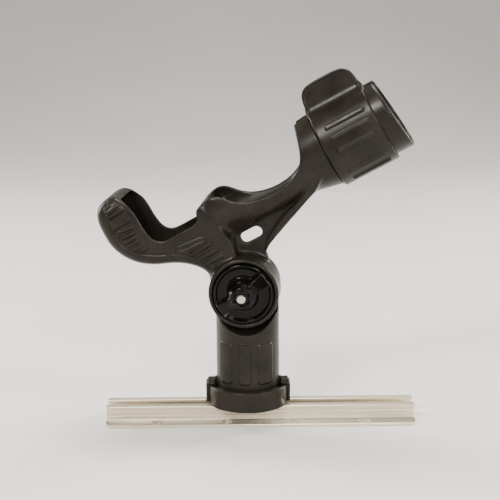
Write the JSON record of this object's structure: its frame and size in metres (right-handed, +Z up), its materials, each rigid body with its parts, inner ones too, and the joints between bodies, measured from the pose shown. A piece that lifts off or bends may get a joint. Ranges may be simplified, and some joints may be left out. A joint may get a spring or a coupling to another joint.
{
  "type": "track-mounted rod holder",
  "caption": "Open-cradle fishing rod holder with a rotating locking collar, tilting and swivelling on a post that slides along a slotted aluminium track.",
  "frame": {"origin": "centre of the track's underside", "axes": "+X along the track, towards the side the rod tube leans to; +Y across the track, away from the clamp knob; +Z up, away from the deck"},
  "size_m": [0.2307, 0.0834, 0.2614],
  "materials": {
    "track_alloy": "satin",
    "black_nylon": "satin",
    "knob_plastic": "gloss",
    "plated_steel": "satin",
    "white_acetal": "satin"
  },
  "bodies": {
    "rail": {"track": "track_alloy"},
    "carriage": {"mount_base": "black_nylon", "detent_left": "black_nylon", "detent_right": "black_nylon", "t_nut_left": "plated_steel", "t_nut_right": "plated_steel", "base_screw_left": "plated_steel", "base_screw_right": "plated_steel", "thrust_washer": "white_acetal"},
    "swivel_post": {"post": "black_nylon", "post_retainer": "plated_steel", "post_tooth_ring": "plated_steel", "head_washer": "plated_steel", "pivot_bolt": "plated_steel", "separating_spring": "plated_steel"},
    "rod_cradle": {"cradle": "black_nylon", "cradle_tooth_ring": "plated_steel"},
    "lock_collar": {"collar": "black_nylon"},
    "knob_slider": {"knob_washer": "plated_steel"},
    "clamp_knob": {"knob": "knob_plastic", "knob_nut": "plated_steel"}
  },
  "joints": [
    {"name": "track_slide", "type": "slide", "parent": "rail", "child": "carriage", "axis": [1, 0, 0], "range_m": [-0.074, 0.092]},
    {"name": "post_swivel", "type": "hinge", "parent": "carriage", "child": "swivel_post", "pos_m": [-0.009, 0, 0.02], "axis": [0, 0, 1], "continuous": true},
    {"name": "cradle_tilt", "type": "hinge", "parent": "swivel_post", "child": "rod_cradle", "pos_m": [-0.009, 0, 0.103], "axis": [-0.1045, -0.9945, 0], "range_deg": [-60, 60]},
    {"name": "collar_turn", "type": "hinge", "parent": "rod_cradle", "child": "lock_collar", "pos_m": [-0.03842, 0.00309, 0.15749], "axis": [0.874, -0.0919, 0.4772], "range_deg": [0, 110]},
    {"name": "knob_travel", "type": "slide", "parent": "swivel_post", "child": "knob_slider", "axis": [-0.1045, -0.9945, 0], "range_m": [0, 0.002]},
    {"name": "knob_turn", "type": "hinge", "parent": "knob_slider", "child": "clamp_knob", "pos_m": [-0.009, 0, 0.103], "axis": [-0.1045, -0.9945, 0], "range_deg": [0, 720]}
  ],
  "couplings": [
    {"joint": "knob_travel", "follows": "knob_turn", "m_per_rad": 0.00015915}
  ]
}
